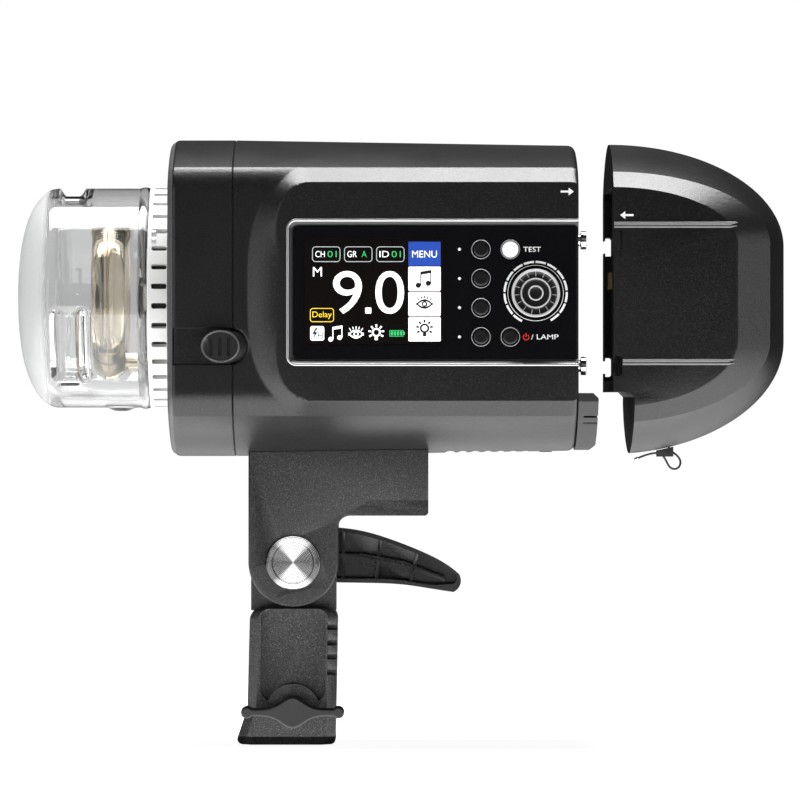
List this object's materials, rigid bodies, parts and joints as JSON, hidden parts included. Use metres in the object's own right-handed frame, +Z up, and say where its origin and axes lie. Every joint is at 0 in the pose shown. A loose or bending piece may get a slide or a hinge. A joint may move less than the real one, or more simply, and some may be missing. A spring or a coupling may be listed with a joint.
{
  "type": "monolight strobe",
  "caption": "Battery studio strobe with a glass-domed ring tube, side control panel, clip-on battery and a tilting stand bracket with a clamp knob.",
  "frame": {"origin": "centre of the stand socket's mouth, at the bottom of the lower bracket", "axes": "+Z up out of the stand, +X towards the battery at the rear, -X out of the glass dome, control panel on -Y"},
  "size_m": [0.313, 0.1312, 0.2465],
  "materials": {
    "housing_black": "fine satin grain",
    "battery_black": "fine satin grain",
    "inner_black": "matt",
    "soft_black_plastic": "satin",
    "cast_black": "textured black paint on die-cast alloy",
    "lever_black": "satin",
    "friction_fibre": "fibre",
    "brass_pad": "plain",
    "zinc_steel": "zinc plated",
    "black_steel": "black oxide",
    "spun_steel": "spun, with concentric marks",
    "bright_steel": "nickel plated",
    "bright_alloy": "machined",
    "silver_trim": "satin silver grey",
    "gloss_panel": "high gloss black",
    "display_glass": "glass over a colour display",
    "board_green": "solder resist",
    "rubber_black": "matt",
    "capacitor_sleeve": "shrink sleeve",
    "ceramic_white": "fired",
    "reflector_white": "white enamel",
    "clear_lens": "clear",
    "tube_glass": "amber tinted quartz",
    "vent_white": "satin, heat resistant",
    "dome_glass": "clear wall, frosted end",
    "cell_sleeve": "shrink sleeve",
    "tether_black": "smooth",
    "dial_black": "satin with bright rim",
    "key_black": "satin",
    "key_white": "lit, translucent"
  },
  "bodies": {
    "stand_adapter": {"stand_adapter": "cast_black", "pivot_washers": "friction_fibre"},
    "clamp_pad": {"clamp_pad": "brass_pad"},
    "clamp_knob": {"clamp_screw": "zinc_steel", "wing_knob": "soft_black_plastic"},
    "head": {"upper_bracket": "cast_black", "pivot_bolt": "spun_steel", "foot_screws": "black_steel", "front_housing": "housing_black", "bayonet_ring": "bright_alloy", "main_housing": "housing_black", "rear_bulkhead": "inner_black", "bulkhead_screws": "black_steel", "battery_studs": "bright_steel", "latch_heel": "inner_black", "head_contacts": "inner_black", "panel_frame": "silver_trim", "control_panel": "gloss_panel", "display_module": "display_glass", "control_board": "board_green", "side_frame": "silver_trim", "side_panel": "inner_black", "side_sockets": "bright_steel", "port_cover": "rubber_black", "capacitor_bank": "capacitor_sleeve", "power_board": "board_green", "fan_frame": "inner_black", "heat_sink": "bright_alloy", "tube_socket": "ceramic_white", "reflector_plate": "reflector_white", "modelling_lamp": "bright_alloy", "lamp_lens": "clear_lens", "flash_tube": "tube_glass", "tube_wires": "bright_steel", "vent_ring": "vent_white"},
    "tilt_lever": {"tilt_lever": "lever_black"},
    "dome": {"glass_dome": "dome_glass"},
    "lock_slider": {"lock_slider": "soft_black_plastic", "lock_pin": "bright_steel"},
    "battery": {"battery_case": "battery_black", "battery_ridges": "battery_black", "battery_front_plate": "inner_black", "battery_cells": "cell_sleeve", "battery_board": "board_green", "battery_blades": "brass_pad", "tether_cord": "tether_black", "tether_saddle": "battery_black", "tether_ferrule": "bright_steel"},
    "release_button": {"release_button": "soft_black_plastic"},
    "battery_lock_pin": {"battery_lock_pin": "bright_steel"},
    "dial": {"dial": "dial_black"},
    "dial_button": {"dial_button": "dial_black"},
    "fan_rotor": {"fan_rotor": "inner_black"},
    "menu_key_1": {"menu_key_1": "key_black"},
    "menu_key_2": {"menu_key_2": "key_black"},
    "menu_key_3": {"menu_key_3": "key_black"},
    "menu_key_4": {"menu_key_4": "key_black"},
    "test_key": {"test_key": "key_white"},
    "power_key": {"power_key": "key_black"}
  },
  "joints": [
    {"name": "tilt", "type": "hinge", "parent": "stand_adapter", "child": "head", "pos_m": [0, 0, 0.0742], "axis": [0, 1, 0], "range_deg": [-90, 90]},
    {"name": "lever_turn", "type": "hinge", "parent": "head", "child": "tilt_lever", "pos_m": [0, 0, 0.0742], "axis": [0, 1, 0], "range_deg": [-20, 100]},
    {"name": "dome_pull", "type": "slide", "parent": "head", "child": "dome", "axis": [-1, 0, 0], "range_m": [0, 0.08]},
    {"name": "lock_slide", "type": "slide", "parent": "head", "child": "lock_slider", "axis": [-1, 0, 0], "range_m": [0, 0.005]},
    {"name": "battery_slide", "type": "slide", "parent": "head", "child": "battery", "axis": [1, 0, 0], "range_m": [-0.0137, 0.06]},
    {"name": "release_press", "type": "slide", "parent": "head", "child": "release_button", "axis": [0, 0, 1], "range_m": [0, 0.002], "stiffness_N_per_m": 900, "springref_m": -0.0008},
    {"name": "lock_pin_draw", "type": "slide", "parent": "head", "child": "battery_lock_pin", "axis": [-1, 0, 0], "range_m": [0, 0.0032]},
    {"name": "dial_turn", "type": "hinge", "parent": "head", "child": "dial", "pos_m": [0.0976, 0, 0.1829], "axis": [0, 1, 0], "continuous": true},
    {"name": "dial_press", "type": "slide", "parent": "head", "child": "dial_button", "axis": [0, 1, 0], "range_m": [0, 0.0006], "stiffness_N_per_m": 600, "springref_m": -0.0006},
    {"name": "fan_spin", "type": "hinge", "parent": "head", "child": "fan_rotor", "pos_m": [0.094, 0, 0.185], "axis": [1, 0, 0], "continuous": true},
    {"name": "clamp_advance", "type": "slide", "parent": "stand_adapter", "child": "clamp_pad", "axis": [0, 1, 0], "range_m": [-0.00375, 0.00125]},
    {"name": "clamp_turn", "type": "hinge", "parent": "clamp_pad", "child": "clamp_knob", "pos_m": [0, 0, 0.0138], "axis": [0, 1, 0], "range_deg": [-1080, 360]},
    {"name": "menu_key_1_press", "type": "slide", "parent": "head", "child": "menu_key_1", "axis": [0, 1, 0], "range_m": [0, 0.0008], "stiffness_N_per_m": 600, "springref_m": -0.0006},
    {"name": "menu_key_2_press", "type": "slide", "parent": "head", "child": "menu_key_2", "axis": [0, 1, 0], "range_m": [0, 0.0008], "stiffness_N_per_m": 600, "springref_m": -0.0006},
    {"name": "menu_key_3_press", "type": "slide", "parent": "head", "child": "menu_key_3", "axis": [0, 1, 0], "range_m": [0, 0.0008], "stiffness_N_per_m": 600, "springref_m": -0.0006},
    {"name": "menu_key_4_press", "type": "slide", "parent": "head", "child": "menu_key_4", "axis": [0, 1, 0], "range_m": [0, 0.0008], "stiffness_N_per_m": 600, "springref_m": -0.0006},
    {"name": "test_key_press", "type": "slide", "parent": "head", "child": "test_key", "axis": [0, 1, 0], "range_m": [0, 0.0008], "stiffness_N_per_m": 600, "springref_m": -0.0006},
    {"name": "power_key_press", "type": "slide", "parent": "head", "child": "power_key", "axis": [0, 1, 0], "range_m": [0, 0.0008], "stiffness_N_per_m": 600, "springref_m": -0.0006}
  ],
  "couplings": [
    {"joint": "clamp_advance", "follows": "clamp_turn", "m_per_rad": 0.00019894},
    {"joint": "lock_pin_draw", "follows": "release_press", "ratio": 1.6}
  ]
}
